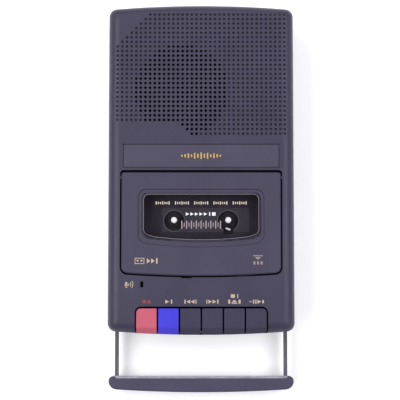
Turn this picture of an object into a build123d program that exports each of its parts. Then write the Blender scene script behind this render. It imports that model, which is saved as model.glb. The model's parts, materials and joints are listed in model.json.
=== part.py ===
from build123d import *
import math
import os

# Portable cassette recorder: a flat case with a speaker grille, a cassette door,
# six piano keys and a carrying handle that slides out of the key end.
# Origin: centre of the bounding box in plan, bottom of the feet. +Z is up towards the
# keys and door, +Y towards the speaker end. Lengths "u" are measured along +Y from a line
# just inside the key end of the case. Millimetres.

# Driving dimensions of the case
BODY_W = 146.8
BODY_U = (-0.7, 260.4)
LOW_CROWN = 3.0
TOP_CROWN = 3.2
CORNER_R = 7.0
DRAFT = 1.5
WALL = 2.4
EDGE_R = 9.0
LOWER_EDGE_R = 3.0
FOOT_H = 1.5
FLOOR_Z = FOOT_H + WALL
SPLIT_Z = 24.0
FACE_Z = 54.0
PARTING_CHAMFER = 0.4
CEILING_Z = FACE_Z - WALL

# Handle, drawn out
GRIP_REACH = 46.2
GRIP_HALF_W = 73.7
GRIP_CROWN = 2.6
GRIP_Z = (3.5, 20.5)
GRIP_INNER_U = -33.8
STRAP_BAR_U = (-35.3, -33.8)
STRAP_Z = (8.0, 18.0)
STRAP_X = (66.2, 68.8)
STRAP_STOP_U = 33.4
RECESS_U = 12.9
RECESS_TOP_Z = 21.5
END = (GRIP_REACH - BODY_U[1]) / 2

# Keys
KEY_NAMES = ["record", "play", "rewind", "fast_forward", "stop_eject", "pause"]
KEY_PITCH = 17.0
KEY_W = 15.8
KEY_ROW_X = 0.2
KEY_CORNER_R = 3.6
KEY_TOP_U = 20.3
KEY_WELL_U = 21.7
KEY_TOP_Z = FACE_Z + 0.8
KEY_LOW_Z = 36.5
KEY_WALL = 1.5
KEY_EDGE_R = 1.5
KEY_BEVEL_U = 5.2
KEY_BEVEL_Z = 49.0
KEY_WELL_HALF_W = 51.6
KEY_WELL_CORNER_R = 4.8
KEY_SILL_Z = 30.5
PIVOT_U = 36.0
PIVOT_Z = 37.5
SHAFT_R = 1.5
RUNNING_FIT = 0.05
LEVER_T = 1.5
LEVER_U = (5.0, 41.0)
LEVER_TOP_Z = 49.0
KEY_SPRING_U = 25.5

# Cassette door and its hinge
DOOR_HALF_W = 62.2
DOOR_U = (45.4, 126.3)
DOOR_CORNER_R = (5.0, 2.0)
WELL_HALF_W = 63.2
WELL_U = (44.2, 127.9)
WELL_CORNER_R = (6.0, 2.8)
DOOR_T = 2.2
DOOR_CROWN = 2.5
HINGE_U = 122.3
HINGE_Z = 50.0
HINGE_PIN_R = 1.5
LENS_W = 93.5
LENS_U = (71.5, 110.3)
LENS_CROWN = 3.6
DISH_W = 97.6
DISH_U = (68.0, 112.6)
DISH_Z = 53.0
LENS_STEP = 1.6
HOLDER_Z = 38.2

# Name panel
PANEL_W = 122.1
PANEL_U = (129.9, 148.4)
PANEL_Z = 52.8
PANEL_GAP = 0.4

# Speaker and grille
SPEAKER_X = -15.6
SPEAKER_U = 190.7
SPEAKER_R = 39.2
GRILLE_PITCH = 3.64
GRILLE_COLUMNS = 37
GRILLE_ROWS = 27
GRILLE_TOP_U = 251.1
GRILLE_OPEN_R = 36.8
HOLE_R = 1.1
DIMPLE_R = 1.0
DIMPLE_DEPTH = 1.5

# Tape drive
CHASSIS_Z = (32.0, 33.2)
CHASSIS_HALF_W = 55.0
CHASSIS_U = (23.0, 136.0)
SPINDLE_X = 21.25
SPINDLE_U = 89.3
REEL_PIN_R = 1.0
CAPSTAN_X = 32.0
CAPSTAN_U = 59.9
CAPSTAN_R = 1.25
BEARING_R = 4.0
BRACKET_TURN = 120
FLYWHEEL_R = 22.0
FLYWHEEL_Z = (23.0, 29.0)
MOTOR_X = -36.0
MOTOR_U = 108.0
MOTOR_R = 15.0
PULLEY_R = 4.0
BELT_GAP = 0.3
BELT_T = 0.8
PINCH_X = 46.0
PINCH_U = 50.8
ROLLER_X = 32.0
ROLLER_U = 48.5
ROLLER_R = 5.5
WELL_FLOOR_Z = (35.5, 37.5)
WELL_POSTS = [(-50.0, 52.0), (51.5, 72.0), (-50.0, 122.0), (50.0, 122.0)]
STOP_PIVOT = (35.0, 76.0)
STOP_FINGER = (21.4, 83.0)

# Electrics
BOARD_Z = (5.5, 7.1)
BOARD_POSTS = [(-50.0, 40.0), (50.0, 40.0), (-50.0, 134.0), (50.0, 134.0)]
JACK_Z = 12.0
JACK_US = (90.0, 102.0)
JACK_BORE_R = 1.8
JACK_BORE_L = 14.0
JACK_FACE_X = 72.8
WHEEL_X = 63.7
WHEEL_U = 125.0
WHEEL_R = 10.0
WHEEL_Z = (18.0, 22.0)
MIC_X = -46.0
MIC_U = 38.8
MIC_R = 3.4
MIC_SLOT = (2.4, 4.5)
INLET_U = 228.0
INLET_Z = 13.0
BAY_HALF_W = 52.0
BAY_U = (150.0, 206.0)
BAY_CEILING_Z = (29.0, 30.5)
BAY_WALL = 1.6
COVER_Z = (1.5, 2.8)
FEET = [(-48.0, 20.5), (48.0, 20.5), (-48.0, 246.0), (48.0, 246.0)]

# Fasteners
CASE_SCREWS = [(60.0, 26.0), (66.0, 140.0), (62.0, 246.0)]
CHASSIS_SCREWS = [(48.0, 30.0), (48.0, 132.0)]
SPEAKER_EAR_R = 41.5
SPEAKER_EAR_ANGLES = [60, 180, 300]

os.makedirs("parts", exist_ok=True)


# Helpers shared by the pieces

def block(x, u, z, mode=Mode.ADD):
    """A box between two limits along each axis."""
    with Locations(((x[0] + x[1]) / 2, END + (u[0] + u[1]) / 2, (z[0] + z[1]) / 2)):
        Box(x[1] - x[0], u[1] - u[0], z[1] - z[0], mode=mode)


def post(x, u, radius, z, mode=Mode.ADD):
    """An upright cylinder between two heights."""
    with Locations((x, END + u, (z[0] + z[1]) / 2)):
        Cylinder(radius, z[1] - z[0], mode=mode)


def cross_rod(x, u, z, radius, mode=Mode.ADD):
    """A cylinder lying along X between two limits."""
    with Locations(Location(((x[0] + x[1]) / 2, END + u, z), (0, 90, 0))):
        Cylinder(radius, x[1] - x[0], mode=mode)


def save(piece, name):
    """Label one finished piece and write it."""
    piece.part.label = name
    export_step(piece.part, f"parts/{name}.step")


def case_outline(inset, radius):
    """Plan outline of the case: straight sides and two gently crowned ends."""
    half = BODY_W / 2 - inset
    low = END + BODY_U[0] + inset
    high = END + BODY_U[1] - inset
    with BuildSketch() as outline:
        with BuildLine():
            ThreePointArc((-half, low + LOW_CROWN), (0, low), (half, low + LOW_CROWN))
            Line((half, low + LOW_CROWN), (half, high - TOP_CROWN))
            ThreePointArc((half, high - TOP_CROWN), (0, high), (-half, high - TOP_CROWN))
            Line((-half, high - TOP_CROWN), (-half, low + LOW_CROWN))
        make_face()
        fillet(outline.vertices(), radius)
    return outline.sketch


def half_form(inset, end_z, edge_radius):
    """Closed half of the case form, from the parting line to a rounded face at end_z."""
    with BuildPart() as form:
        with BuildSketch(Plane.XY.offset(SPLIT_Z)):
            add(case_outline(inset, CORNER_R - inset))
        extrude(amount=abs(end_z - SPLIT_Z), taper=DRAFT)
        fillet(form.faces().sort_by(Axis.Z)[-1].edges(), edge_radius)
        if inset == 0:
            chamfer(form.faces().sort_by(Axis.Z)[0].edges(), PARTING_CHAMFER)
    if end_z > SPLIT_Z:
        return form.part
    return form.part.mirror(Plane.XY.offset(SPLIT_Z))


def bowed_outline(half, u, crown, low_radius, high_radius):
    """A rectangle whose low edge bows outwards, as on the door and its window."""
    with BuildSketch() as outline:
        with BuildLine():
            ThreePointArc((-half, END + u[0] + crown), (0, END + u[0]), (half, END + u[0] + crown))
            Line((half, END + u[0] + crown), (half, END + u[1]))
            Line((half, END + u[1]), (-half, END + u[1]))
            Line((-half, END + u[1]), (-half, END + u[0] + crown))
        make_face()
        fillet(outline.vertices().group_by(Axis.Y)[-1], high_radius)
        fillet(outline.vertices().group_by(Axis.Y)[0], low_radius)
    return outline.sketch


def grille_points():
    """Grille centres, split into those over the speaker and the blind ones around it."""
    over, blind = [], []
    for row in range(GRILLE_ROWS):
        first = max(7 - row, 0)
        if row >= 24:
            first = row - 10
        for column in range(first, GRILLE_COLUMNS):
            x = (column - (GRILLE_COLUMNS - 1) / 2) * GRILLE_PITCH
            u = GRILLE_TOP_U - row * GRILLE_PITCH
            near = math.hypot(x - SPEAKER_X, u - SPEAKER_U) < GRILLE_OPEN_R
            (over if near else blind).append((x, END + u))
    return over, blind


def mirrored(points):
    """Each point and its mirror image across the centre line."""
    return [(side * x, u) for x, u in points for side in (-1, 1)]


# Case

def build_front_case():
    with BuildPart() as cavity:
        add(half_form(WALL, CEILING_Z, EDGE_R - WALL))
    over, blind = grille_points()
    with BuildPart() as openings:
        with BuildSketch(Plane.XY.offset(CEILING_Z - 1)):
            with Locations(*over):
                Circle(HOLE_R)
        extrude(amount=WALL + 2)
        with BuildSketch(Plane.XY.offset(FACE_Z - DIMPLE_DEPTH)):
            with Locations(*blind):
                Circle(DIMPLE_R)
        extrude(amount=DIMPLE_DEPTH + 1)
    with BuildPart() as shell:
        add(half_form(0, FACE_Z, EDGE_R))
        add(cavity.part, mode=Mode.SUBTRACT)
        # skirt round the cassette well, and the lugs that hold the hinge pins
        wall = 2.0
        outer = WELL_HALF_W + wall
        for side in (-1, 1):
            x = sorted((side * WELL_HALF_W, side * outer))
            block(x, (WELL_U[0] - 1.5, WELL_U[1] + wall), (38, CEILING_Z))
            lug = sorted((side * outer, side * (outer + 2.8)))
            block(lug, (118, 126.5), (46, CEILING_Z))
        block((-outer, outer), (WELL_U[1], WELL_U[1] + wall), (38, CEILING_Z))
        block((-outer, outer), (WELL_U[0] - 1.8, WELL_U[0] - 0.3), (50, CEILING_Z))
        # posts for the case screws and the chassis
        for x, u in mirrored(CASE_SCREWS):
            post(x, u, 3.4, (SPLIT_Z, CEILING_Z))
        for x, u in mirrored(CHASSIS_SCREWS):
            post(x, u, 3.0, (CHASSIS_Z[1], CEILING_Z))
        # speaker seat: a ring and three bosses
        post(SPEAKER_X, SPEAKER_U, SPEAKER_R, (49.6, CEILING_Z))
        post(SPEAKER_X, SPEAKER_U, SPEAKER_R - 1.2, (49.6, CEILING_Z), Mode.SUBTRACT)
        for x, u in speaker_ears():
            post(x, u, 3.2, (49.6, CEILING_Z))
        # guides for the eject slider
        for x in (2, 17):
            block((x, x + 2), (39.2, 43.8), (43.5, CEILING_Z))
            block((x, x + 2), (40.2, 42.7), (45.1, 47.9), Mode.SUBTRACT)
    with BuildPart() as front:
        add(shell.part)
        # keep everything inside the outer form
        add(half_form(0, FACE_Z, EDGE_R), mode=Mode.INTERSECT)
        # key well, open to the end of the case
        with BuildSketch(Plane.XY.offset(KEY_SILL_Z)) as key_well:
            with Locations((KEY_ROW_X, END + KEY_WELL_U)):
                Rectangle(2 * KEY_WELL_HALF_W, 2 * KEY_WELL_U, align=(Align.CENTER, Align.MAX))
            fillet(key_well.vertices().group_by(Axis.Y)[-1], KEY_WELL_CORNER_R)
        extrude(amount=40, mode=Mode.SUBTRACT)
        # cassette door opening, with a notch over the catch
        with BuildSketch(Plane.XY.offset(FACE_Z - 5)):
            add(bowed_outline(WELL_HALF_W, WELL_U, DOOR_CROWN, WELL_CORNER_R[0], WELL_CORNER_R[1]))
        extrude(amount=6, mode=Mode.SUBTRACT)
        block((-15.5, -7.5), (WELL_U[0] - 0.8, WELL_U[0] + 1), (CEILING_Z - 1, FACE_Z + 1), Mode.SUBTRACT)
        # panel recess and microphone slot
        block((-PANEL_W / 2, PANEL_W / 2), PANEL_U, (PANEL_Z, FACE_Z + 1), Mode.SUBTRACT)
        block((MIC_X - MIC_SLOT[0] / 2, MIC_X + MIC_SLOT[0] / 2),
              (MIC_U - MIC_SLOT[1] / 2, MIC_U + MIC_SLOT[1] / 2), (50, FACE_Z + 1), Mode.SUBTRACT)
        # bores for hinge pins and screws
        for side in (-1, 1):
            x = sorted((side * (WELL_HALF_W - 1), side * 67.5))
            cross_rod(x, HINGE_U, HINGE_Z, HINGE_PIN_R, Mode.SUBTRACT)
        for x, u in mirrored(CASE_SCREWS):
            post(x, u, 1.25, (SPLIT_Z - 1, 33), Mode.SUBTRACT)
        for x, u in mirrored(CHASSIS_SCREWS):
            post(x, u, 1.25, (CHASSIS_Z[1] - 1, 42), Mode.SUBTRACT)
        for x, u in speaker_ears():
            post(x, u, 1.25, (49, 52.8), Mode.SUBTRACT)
        add(openings.part, mode=Mode.SUBTRACT)
    save(front, "front_case")


def speaker_ears():
    """Centres of the three speaker fixing ears."""
    points = []
    for angle in SPEAKER_EAR_ANGLES:
        turn = math.radians(angle)
        points.append((SPEAKER_X + SPEAKER_EAR_R * math.cos(turn),
                       SPEAKER_U + SPEAKER_EAR_R * math.sin(turn)))
    return points


def build_rear_case():
    screws = mirrored(CASE_SCREWS)
    with BuildPart() as rear:
        add(half_form(0, FOOT_H, LOWER_EDGE_R))
        add(half_form(WALL, FLOOR_Z, LOWER_EDGE_R - 1), mode=Mode.SUBTRACT)
        # recess that takes the grip, closed by an inner end wall
        block((-80, 80), (-5, RECESS_U), (0, RECESS_TOP_Z), Mode.SUBTRACT)
        reach = BODY_W / 2
        block((-reach, reach), (RECESS_U, RECESS_U + WALL), (FLOOR_Z - 1, SPLIT_Z))
        block((-reach, reach), (2, RECESS_U + 1), (RECESS_TOP_Z, SPLIT_Z))
        add(half_form(0, FOOT_H, LOWER_EDGE_R), mode=Mode.INTERSECT)
        for side in (-1, 1):
            guide = sorted((side * 63.0, side * 70.2))
            slot = sorted((side * (STRAP_X[0] - 0.4), side * (STRAP_X[1] + 0.4)))
            block(guide, (RECESS_U, 30), (FLOOR_Z - 1, 20.4))
            block(slot, (-10, 31), (STRAP_Z[0] - 0.4, STRAP_Z[1] + 0.4), Mode.SUBTRACT)
        # bosses for the case screws, with deep pockets for the heads
        for x, u in screws:
            post(x, u, 4.3, (FLOOR_Z - 1, SPLIT_Z))
        for x, u in screws:
            post(x, u, 2.9, (FOOT_H - 1, 14), Mode.SUBTRACT)
            post(x, u, 1.6, (13, SPLIT_Z + 1), Mode.SUBTRACT)
        # battery bay: walls, ceiling, and the opening its cover fills
        side = BAY_HALF_W + BAY_WALL
        ends = (BAY_U[0] - BAY_WALL, BAY_U[1] + BAY_WALL)
        block((-side, side), ends, (FLOOR_Z - 1, BAY_CEILING_Z[1]))
        block((-BAY_HALF_W, BAY_HALF_W), BAY_U, (0, BAY_CEILING_Z[0]), Mode.SUBTRACT)
        cover = BAY_HALF_W + 2.5
        block((-cover, cover), (BAY_U[0] - 2.5, BAY_U[1] + 2.5), (0, COVER_Z[1] + 0.1), Mode.SUBTRACT)
        # board standoffs
        for x, u in BOARD_POSTS:
            post(x, u, 2.5, (FLOOR_Z - 1, BOARD_Z[0]))
        # side wall openings: jacks, volume wheel, mains inlet
        for u in JACK_US:
            cross_rod((68, 75), u, JACK_Z, 3.7, Mode.SUBTRACT)
        block((68, 75), (WHEEL_U - 8.3, WHEEL_U + 8.3), (WHEEL_Z[0] - 0.5, WHEEL_Z[1] + 0.5), Mode.SUBTRACT)
        block((68, 75), (INLET_U - 10, INLET_U + 10), (INLET_Z - 6, INLET_Z + 6), Mode.SUBTRACT)
    save(rear, "rear_case")


def build_name_panel():
    with BuildPart() as panel:
        with BuildSketch(Plane.XY.offset(PANEL_Z)) as plate:
            with Locations((0, END + (PANEL_U[0] + PANEL_U[1]) / 2)):
                RectangleRounded(PANEL_W - 2 * PANEL_GAP, PANEL_U[1] - PANEL_U[0] - 2 * PANEL_GAP, 0.8)
        extrude(amount=0.8)
    save(panel, "name_panel")


def build_battery_door():
    with BuildPart() as door:
        half = BAY_HALF_W + 2.2
        block((-half, half), (BAY_U[0] - 2.2, BAY_U[1] + 2.2), COVER_Z)
        # locating rim inside the opening, and finger ribs underneath
        rim = BAY_HALF_W - 0.4
        block((-rim, rim), (BAY_U[0] + 0.4, BAY_U[1] - 0.4), (COVER_Z[1], COVER_Z[1] + 1.5))
        block((-rim + 1.5, rim - 1.5), (BAY_U[0] + 1.9, BAY_U[1] - 1.9),
              (COVER_Z[1], COVER_Z[1] + 2), Mode.SUBTRACT)
        for rib in range(5):
            u = BAY_U[1] - 6 - 2.4 * rib
            block((-12, 12), (u - 0.6, u + 0.6), (COVER_Z[0], COVER_Z[0] + 0.5), Mode.SUBTRACT)
    save(door, "battery_door")


def build_rubber_feet():
    with BuildPart() as feet:
        for x, u in FEET:
            post(x, u, 6.0, (0, FOOT_H))
        chamfer(feet.faces().group_by(Axis.Z)[0].edges(), 0.4)
    save(feet, "rubber_feet")


def screw(x, u, head_radius, head_z, tip_z):
    """Self-tapping screw driven upwards: pan head with a cross recess, plain shank."""
    post(x, u, head_radius, head_z)
    post(x, u, 1.25, (head_z[1], tip_z))
    block((x - 1.3, x + 1.3), (u - 0.35, u + 0.35), (head_z[0], head_z[0] + 0.9), Mode.SUBTRACT)
    block((x - 0.35, x + 0.35), (u - 1.3, u + 1.3), (head_z[0], head_z[0] + 0.9), Mode.SUBTRACT)


def build_screws():
    with BuildPart() as case_screws:
        for x, u in mirrored(CASE_SCREWS):
            screw(x, u, 2.6, (11.8, 14.0), 32.0)
    save(case_screws, "case_screws")
    with BuildPart() as small_screws:
        for x, u in mirrored(CHASSIS_SCREWS):
            screw(x, u, 2.4, (CHASSIS_Z[0] - 1.6, CHASSIS_Z[0]), 41.0)
        for x, u in speaker_ears():
            screw(x, u, 2.4, (46.8, 48.4), 52.4)
    save(small_screws, "small_screws")


# Handle

def build_handle():
    with BuildPart() as grip:
        with BuildSketch(Plane.XY.offset(GRIP_Z[0])) as plan:
            with BuildLine():
                far = END - GRIP_REACH
                ThreePointArc((-GRIP_HALF_W, far + GRIP_CROWN), (0, far), (GRIP_HALF_W, far + GRIP_CROWN))
                Line((GRIP_HALF_W, far + GRIP_CROWN), (GRIP_HALF_W, END + GRIP_INNER_U))
                Line((GRIP_HALF_W, END + GRIP_INNER_U), (-GRIP_HALF_W, END + GRIP_INNER_U))
                Line((-GRIP_HALF_W, END + GRIP_INNER_U), (-GRIP_HALF_W, far + GRIP_CROWN))
            make_face()
            fillet(plan.vertices().group_by(Axis.Y)[0], 6.5)
            fillet(plan.vertices().group_by(Axis.Y)[-1], 3.0)
        extrude(amount=GRIP_Z[1] - GRIP_Z[0])
        rims = grip.faces().sort_by(Axis.Z)[-1].edges() + grip.faces().sort_by(Axis.Z)[0].edges()
        fillet(rims, 1.6)
        # rebate along the inner edge that carries the strap's cross bar, open above it
        block((-STRAP_X[1], STRAP_X[1]), (STRAP_BAR_U[0], GRIP_INNER_U + 1), (STRAP_Z[0], GRIP_Z[1] + 1),
              Mode.SUBTRACT)
    save(grip, "handle_grip")
    with BuildPart() as strap:
        block((-STRAP_X[1], STRAP_X[1]), STRAP_BAR_U, STRAP_Z)
        for side in (-1, 1):
            arm = sorted((side * STRAP_X[0], side * STRAP_X[1]))
            stop = sorted((side * 63.2, side * STRAP_X[1]))
            block(arm, (STRAP_BAR_U[0], STRAP_STOP_U), STRAP_Z)
            block(stop, (STRAP_STOP_U - 3, STRAP_STOP_U), STRAP_Z)
    save(strap, "handle_frame")


# Keys

def key_x(index):
    """Centre of one key, counted from the left."""
    return KEY_ROW_X + KEY_PITCH * (index - (len(KEY_NAMES) - 1) / 2)


def build_key_cap(index, name):
    x = key_x(index)
    left, right = x - KEY_W / 2, x + KEY_W / 2
    with BuildPart() as cap:
        with BuildSketch(Plane.XY.offset(KEY_LOW_Z)) as plan:
            with Locations((x, END + KEY_TOP_U)):
                Rectangle(KEY_W, KEY_TOP_U + 5, align=(Align.CENTER, Align.MAX))
            left_r = KEY_CORNER_R if index == 0 else 0.8
            right_r = KEY_CORNER_R if index == len(KEY_NAMES) - 1 else 0.8
            fillet(plan.vertices().group_by(Axis.Y)[-1].sort_by(Axis.X)[-1], right_r)
            fillet(plan.vertices().group_by(Axis.Y)[-1].sort_by(Axis.X)[0], left_r)
        extrude(amount=30)
        # the cap's end follows the crowned end of the case, with a bevel down to it
        add(half_form(0, KEY_TOP_Z, KEY_EDGE_R), mode=Mode.INTERSECT)
        with BuildSketch(Plane.YZ.offset(left - 1)):
            with BuildLine():
                Polyline((END + KEY_BEVEL_U, KEY_TOP_Z), (END + BODY_U[0], KEY_BEVEL_Z),
                         (END + BODY_U[0] - 5, KEY_BEVEL_Z), (END + BODY_U[0] - 5, KEY_TOP_Z + 1),
                         (END + KEY_BEVEL_U, KEY_TOP_Z + 1), close=True)
            make_face()
        extrude(amount=KEY_W + 2, mode=Mode.SUBTRACT)
        # hollow underside, with a rib that grips the lever
        block((left + KEY_WALL, right - KEY_WALL), (3.2, KEY_TOP_U - KEY_WALL),
              (KEY_LOW_Z - 1, LEVER_TOP_Z + 1.3), Mode.SUBTRACT)
        block((x - 2.4, x + 2.4), (3.2, KEY_TOP_U - KEY_WALL), (40, LEVER_TOP_Z + 1.3))
        block((x - LEVER_T / 2, x + LEVER_T / 2), (LEVER_U[0], KEY_TOP_U + 1),
              (KEY_LOW_Z - 1, LEVER_TOP_Z), Mode.SUBTRACT)
    save(cap, f"{name}_key_cap")


def build_key_lever(index, name):
    x = key_x(index)
    with BuildPart() as lever:
        with BuildSketch(Plane.YZ.offset(x - LEVER_T / 2)):
            with BuildLine():
                Polyline((END + LEVER_U[0], 41), (END + LEVER_U[0], LEVER_TOP_Z), (END + 16, LEVER_TOP_Z),
                         (END + 24, 42.5), (END + 38, 41), (END + LEVER_U[1], 38.5),
                         (END + LEVER_U[1], 35), (END + 33, 35), (END + 29, 38), (END + 8, 38),
                         close=True)
            make_face()
            with Locations((END + PIVOT_U, PIVOT_Z)):
                Circle(SHAFT_R + RUNNING_FIT, mode=Mode.SUBTRACT)
        extrude(amount=LEVER_T)
    save(lever, f"{name}_key_lever")


def build_key_shaft():
    with BuildPart() as shaft:
        cross_rod((-CHASSIS_HALF_W, CHASSIS_HALF_W), PIVOT_U, PIVOT_Z, SHAFT_R)
    save(shaft, "key_shaft")


def build_key_springs():
    with BuildPart() as springs:
        for index in range(len(KEY_NAMES)):
            low = (key_x(index), END + KEY_SPRING_U, CHASSIS_Z[1] + 0.3)
            with BuildLine() as turns:
                Helix(pitch=1.05, height=4.2, radius=1.7, center=low)
            with BuildSketch(turns.line ^ 0):
                Circle(0.25)
            sweep(path=turns.line, is_frenet=True)
    save(springs, "key_springs")


# Cassette door

def build_cassette_door():
    middle = END + (DOOR_U[0] + DOOR_U[1]) / 2
    with BuildPart() as door:
        with BuildSketch(Plane.XY.offset(FACE_Z - DOOR_T)):
            add(bowed_outline(DOOR_HALF_W, DOOR_U, DOOR_CROWN, DOOR_CORNER_R[0], DOOR_CORNER_R[1]))
        extrude(amount=DOOR_T)
        chamfer(door.faces().sort_by(Axis.Z)[-1].edges(), 0.9)
        # shallow dish round the window, and the window opening
        with BuildSketch(Plane.XY.offset(DISH_Z)):
            add(bowed_outline(DISH_W / 2, DISH_U, LENS_CROWN, 7.0, 6.0))
        extrude(amount=FACE_Z, taper=-30, mode=Mode.SUBTRACT)
        with BuildSketch(Plane.XY.offset(FACE_Z - DOOR_T - 1)):
            add(bowed_outline(LENS_W / 2 - LENS_STEP, lens_inner_u(), LENS_CROWN, 4.5, 3.2))
        extrude(amount=DOOR_T + 2, mode=Mode.SUBTRACT)
        # side flanges, front and rear ribs
        for side in (-1, 1):
            x = sorted((side * 60.4, side * 62.0))
            block(x, (54, 120), (46, FACE_Z - DOOR_T))
            ear = sorted((side * 58.5, side * 62.0))
            block(ear, (119, 125.4), (46.6, FACE_Z - DOOR_T))
        for side in (-1, 1):
            x = sorted((side * 57, side * 63))
            cross_rod(x, HINGE_U, HINGE_Z, HINGE_PIN_R + RUNNING_FIT, Mode.SUBTRACT)
        # pocket over the door spring, and the catch that the eject slider holds
        block((-58.4, -52.6), (HINGE_U - 2.9, HINGE_U + 2.9), (FACE_Z - DOOR_T - 1, FACE_Z - DOOR_T + 1),
              Mode.SUBTRACT)
        block((-12, -8), (48.2, 49.8), (47, FACE_Z - DOOR_T))
        block((-12, -8), (44.8 + 0.6, 49.8), (45.5, 47))
    save(door, "cassette_door")


def lens_inner_u():
    """Window limits inside the step that carries the lens."""
    return (LENS_U[0] + LENS_STEP, LENS_U[1] - LENS_STEP)


def build_door_lens():
    with BuildPart() as lens:
        with BuildSketch(Plane.XY.offset(DISH_Z)):
            add(bowed_outline(LENS_W / 2, LENS_U, LENS_CROWN, 6.0, 4.7))
        extrude(amount=0.7)
        chamfer(lens.faces().sort_by(Axis.Z)[-1].edges(), 0.3)
        inner = lens_inner_u()
        with BuildSketch(Plane.XY.offset(FACE_Z - DOOR_T)):
            add(bowed_outline(LENS_W / 2 - LENS_STEP - 0.1, (inner[0] + 0.1, inner[1] - 0.1),
                              LENS_CROWN, 4.4, 3.1))
        extrude(amount=DISH_Z - FACE_Z + DOOR_T)
    save(lens, "door_lens")


def build_cassette_holder():
    top = FACE_Z - DOOR_T
    with BuildPart() as holder:
        for side in (-1, 1):
            web = sorted((side * 50.6, side * 51.9))
            foot = sorted((side * 46.5, side * 51.9))
            block(web, (56, 119.8), (HOLDER_Z, top))
            block(foot, (56, 119.8), (HOLDER_Z, HOLDER_Z + 1.0))
        block((-51.9, 51.9), (118.6, 119.8), (HOLDER_Z, top))
    save(holder, "cassette_holder")


def build_hinge_pins():
    with BuildPart() as pins:
        cross_rod((58, 67.5), HINGE_U, HINGE_Z, HINGE_PIN_R)
        cross_rod((-67.5, -52.8), HINGE_U, HINGE_Z, HINGE_PIN_R)
    save(pins, "door_hinge_pins")
    with BuildPart() as spring:
        with BuildLine() as turns:
            Helix(pitch=0.9, height=4.0, radius=2.25, center=(-57.8, END + HINGE_U, HINGE_Z),
                  direction=(1, 0, 0))
        with BuildSketch(turns.line ^ 0):
            Circle(0.25)
        sweep(path=turns.line, is_frenet=True)
    save(spring, "door_spring")


# Tape drive

def build_chassis():
    half = CHASSIS_HALF_W
    with BuildPart() as chassis:
        block((-half, half), CHASSIS_U, CHASSIS_Z)
        for side in (-1, 1):
            x = sorted((side * (half - 1.2), side * half))
            block(x, (31, 41), (CHASSIS_Z[0], 41.5))
        cross_rod((-60, 60), PIVOT_U, PIVOT_Z, SHAFT_R, Mode.SUBTRACT)
        post(CAPSTAN_X, CAPSTAN_U, BEARING_R, (30, 35), Mode.SUBTRACT)
        for x, u in mirrored(CHASSIS_SCREWS):
            post(x, u, 1.5, (30, 35), Mode.SUBTRACT)
        # riveted pins for the two reels, the pinch arm and the automatic stop lever
        for side in (-1, 1):
            post(side * SPINDLE_X, SPINDLE_U, REEL_PIN_R, (CHASSIS_Z[1], 46.5))
        post(PINCH_X, PINCH_U, 1.5, (CHASSIS_Z[1], 39.5))
        post(STOP_PIVOT[0], STOP_PIVOT[1], 1.0, (CHASSIS_Z[1], 35.4))
    save(chassis, "chassis_plate")


def build_well_floor():
    with BuildPart() as floor:
        block((-61, 61), (47, 126), WELL_FLOOR_Z)
        for x, u in WELL_POSTS:
            post(x, u, 2.5, (CHASSIS_Z[1], WELL_FLOOR_Z[0]))
        for side in (-1, 1):
            post(side * SPINDLE_X, SPINDLE_U, 8.0, (35, 38), Mode.SUBTRACT)
        # openings for the heads and capstan, and for the stop finger
        block((-30, 52), (45, 66), (35, 38), Mode.SUBTRACT)
        block((17.5, 25.5), (79, 86), (35, 38), Mode.SUBTRACT)
    save(floor, "well_floor")


def build_reel(side, name):
    x, y = side * SPINDLE_X, END + SPINDLE_U
    with BuildPart() as reel:
        post(x, SPINDLE_U, 12.0, (33.5, 34.5))
        post(x, SPINDLE_U, 4.6, (34.5, 40.0))
        post(x, SPINDLE_U, 2.3, (40.0, 47.5))
        for fin in range(3):
            with Locations(Location((x, y, 42.5), (0, 0, 120 * fin))):
                with Locations((2.2, 0, 0)):
                    Box(2.8, 1.0, 7.0)
        chamfer(reel.faces().sort_by(Axis.Z)[-1].edges(), 0.6)
        post(x, SPINDLE_U, REEL_PIN_R + RUNNING_FIT, (33, 46.8), Mode.SUBTRACT)
    save(reel, name)


def build_flywheel():
    with BuildPart() as wheel:
        post(CAPSTAN_X, CAPSTAN_U, FLYWHEEL_R, FLYWHEEL_Z)
        chamfer(wheel.edges(), 0.4)
        post(CAPSTAN_X, CAPSTAN_U, FLYWHEEL_R - 4, (FLYWHEEL_Z[0] - 1, FLYWHEEL_Z[0] + 2.5), Mode.SUBTRACT)
        post(CAPSTAN_X, CAPSTAN_U, 5, (FLYWHEEL_Z[0], FLYWHEEL_Z[0] + 3))
        post(CAPSTAN_X, CAPSTAN_U, CAPSTAN_R, (20, 30), Mode.SUBTRACT)
    save(wheel, "capstan_flywheel")
    with BuildPart() as shaft:
        post(CAPSTAN_X, CAPSTAN_U, CAPSTAN_R, (20.2, 50.5))
        chamfer(shaft.faces().sort_by(Axis.Z)[-1].edges(), 0.3)
    save(shaft, "capstan_shaft")
    with BuildPart() as bearing:
        post(CAPSTAN_X, CAPSTAN_U, BEARING_R, (29.5, 37))
        post(CAPSTAN_X, CAPSTAN_U, CAPSTAN_R + RUNNING_FIT, (29, 38), Mode.SUBTRACT)
    save(bearing, "capstan_bearing")
    turn = BRACKET_TURN
    with BuildPart() as bracket:
        with Locations(Location((CAPSTAN_X, END + CAPSTAN_U, 19.6), (0, 0, turn))):
            Box(61, 8, 1.2)
        for side in (-1, 1):
            x = CAPSTAN_X + side * 27 * math.cos(math.radians(turn))
            u = CAPSTAN_U + side * 27 * math.sin(math.radians(turn))
            post(x, u, 2.5, (20.2, CHASSIS_Z[0]))
    save(bracket, "flywheel_bracket")


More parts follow.
